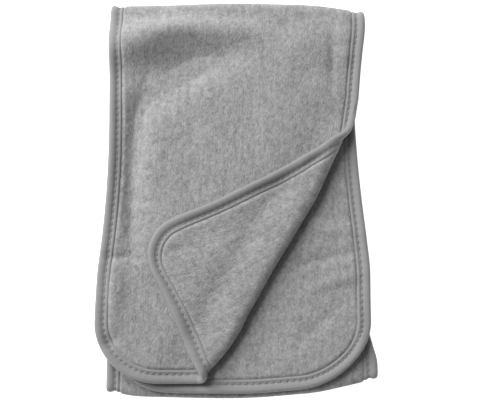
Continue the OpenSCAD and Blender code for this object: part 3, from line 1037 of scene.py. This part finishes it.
class THROW_OT_turned_corner(bpy.types.Operator):
    """The roll along the crease and the corner that lies turned over."""

    bl_idname = "throw.turned_corner"
    bl_label = "Turned corner"

    def execute(self, context):
        cloth, fleece, binding, thread = kit(context)
        cuts = Cuts(cloth)
        path = cloth.top_edge
        near_foot = cuts.on_band(-SEAM_BEFORE, *cuts.at_end)
        far_foot = cuts.on_band(SEAM_AFTER, *cuts.at_end)
        near_head = cuts.on_band(-SEAM_BEFORE, *cuts.before_roll)
        far_head = cuts.on_band(SEAM_AFTER, *cuts.past_roll)
        steps = 34
        foot = edge_family(cloth, near_foot, far_foot, steps)
        head = edge_family(cloth, near_head, far_head, steps)
        columns = 150
        before = cuts.seam(-SEAM_BEFORE, foot[0, -1, 1], head[0, -1, 1], columns)
        after = cuts.seam(SEAM_AFTER, foot[-1, -1, 1], head[-1, -1, 1], columns)
        roll, roll_cut = slab(cloth, "crease_fleece",
                               [foot, head, coons(before, after, foot[:, -1], head[:, -1])],
                               fleece)
        around = edge_family(cloth, far_foot, far_head, 220)
        lip = cuts.seam(SEAM_AFTER, around[0, -1, 1], around[-1, -1, 1], 220)
        share = np.linspace(0, 1, 70)[None, :, None]
        fill = around[:, -1][:, None] * (1 - share) + lip[:, None] * share
        corner, corner_cut = slab(cloth, "turned_fleece", [around, fill], fleece)
        runs = [(path, cuts.foot_in, cuts.foot_out), (path, cuts.top_out, cuts.top_in)]
        roll_edge = tape(cloth, "crease_binding_tape", runs, binding, step=BEND_TAPE_STEP)
        roll_rows = [stitches(cloth, f"crease_{kind}_stitches", runs, face, thread)
                     for kind, face in (("needle", -1), ("under", 1))]
        run = [(path, cuts.foot_out, cuts.top_out)]
        corner_edge = tape(cloth, "turned_binding_tape", run, binding)
        corner_rows = [stitches(cloth, f"turned_{kind}_stitches", run, face, thread)
                       for kind, face in (("needle", -1), ("under", 1))]
        for piece, slot, node_name in (
                (roll, "fleece", "corner_crease"), (roll_edge, "binding", "corner_crease_bindings"),
                (corner, "fleece", "turned_corner"),
                (corner_edge, "binding", "turned_corner_binding"),
                (corner_rows[0], "thread", "turned_needle_thread"),
                (corner_rows[1], "thread", "turned_under_thread")):
            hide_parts(node_name)
        for piece in [roll, roll_edge] + roll_rows:
            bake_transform(piece)
        for piece in [corner, corner_edge] + corner_rows:
            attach(piece, "turned_corner")
        return {"FINISHED"}


def look_at(piece, target):
    """Turns a light or a camera so that it looks at a point."""
    piece.rotation_euler = (Vector(target) - piece.location).to_track_quat("-Z", "Y").to_euler()


LAMP_AT = (-1.05, 0.85, 1.24)
LAMP_SIZE, LAMP_POWER = 1.5, 60  # metres, watts
ROOM_LIGHT = 0.24
FLOOR_REACH, FLOOR_DROP, FLOOR_GLOW = 3.0, 0.0002, 0.95
CAMERA_LENS, CAMERA_DISTANCE, CAMERA_ELEVATION = 84.4, 0.86, math.radians(80)
CAMERA_TARGET = (0.0026, -0.0042, 0.010)
WHITE = (1, 1, 1, 1)


class THROW_OT_stage(bpy.types.Operator):
    """Pale floor, one broad soft light from the upper left, even fill, and the camera."""

    bl_idname = "throw.stage"
    bl_label = "Stage"

    def execute(self, context):
        scene = context.scene
        x, y = np.meshgrid([-FLOOR_REACH, FLOOR_REACH], [-FLOOR_REACH, FLOOR_REACH])
        corners = np.stack([x.ravel(), y.ravel(), np.full(4, -FLOOR_DROP)], -1)
        mesh = bpy.data.meshes.new("floor")
        mesh.from_pydata(corners.tolist(), [], [(0, 1, 3, 2)])
        floor = bpy.data.objects.new("floor", mesh)
        scene.collection.objects.link(floor)
        paint = bpy.data.materials.new("floor")
        paint.use_nodes = True
        shader = paint.node_tree.nodes["Principled BSDF"]
        shader.inputs["Base Color"].default_value = colour4(scene.throw_finish.floor)
        shader.inputs["Roughness"].default_value = 0.9
        shader.inputs["Emission Color"].default_value = WHITE
        shader.inputs["Emission Strength"].default_value = FLOOR_GLOW
        mesh.materials.append(paint)

        key = bpy.data.lights.new("key", "AREA")
        key.shape, key.size, key.size_y = "RECTANGLE", LAMP_SIZE, LAMP_SIZE
        key.energy = LAMP_POWER
        lamp = bpy.data.objects.new("key", key)
        lamp.location = LAMP_AT
        scene.collection.objects.link(lamp)
        look_at(lamp, (0, 0, 0))

        world = bpy.data.worlds.new("room")
        world.use_nodes = True
        sky = world.node_tree.nodes["Background"]
        sky.inputs["Color"].default_value = WHITE
        sky.inputs["Strength"].default_value = ROOM_LIGHT
        scene.world = world
        scene.view_settings.view_transform = "Standard"

        target = Vector(CAMERA_TARGET)
        lens = bpy.data.cameras.new("camera")
        lens.sensor_width, lens.lens = 36.0, CAMERA_LENS
        camera = bpy.data.objects.new("camera", lens)
        camera.location = target + CAMERA_DISTANCE * Vector(
            (0, -math.cos(CAMERA_ELEVATION), math.sin(CAMERA_ELEVATION)))
        scene.collection.objects.link(camera)
        look_at(camera, target)
        scene.camera = camera
        return {"FINISHED"}


PIECES = (THROW_OT_lower_half, THROW_OT_far_folds, THROW_OT_second_layer, THROW_OT_top_layer,
          THROW_OT_turned_corner, THROW_OT_stage)


class THROW_PT_panel(bpy.types.Panel):
    """Sizes, colours and pieces of the folded throw."""

    bl_idname = "THROW_PT_panel"
    bl_label = "Folded throw"
    bl_space_type = "VIEW_3D"
    bl_region_type = "UI"
    bl_category = "Throw"

    def draw(self, context):
        for settings in (context.scene.throw_sizes, context.scene.throw_finish):
            box = self.layout.box()
            for name in settings.__annotations__:
                box.prop(settings, name)
        for operator in PIECES:
            self.layout.operator(operator.bl_idname)


CLASSES = (ThrowSizes, ThrowFinish, *PIECES, THROW_PT_panel)


def register():
    for item in CLASSES:
        bpy.utils.register_class(item)
    bpy.types.Scene.throw_sizes = bpy.props.PointerProperty(type=ThrowSizes)
    bpy.types.Scene.throw_finish = bpy.props.PointerProperty(type=ThrowFinish)


def unregister():
    del bpy.types.Scene.throw_finish
    del bpy.types.Scene.throw_sizes
    for item in reversed(CLASSES):
        bpy.utils.unregister_class(item)


def main():
    """Registers the classes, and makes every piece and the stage."""
    register()
    for operator in PIECES:
        group_name, call = operator.bl_idname.split(".")
        getattr(getattr(bpy.ops, group_name), call)()


if __name__ == "__main__":
    main()
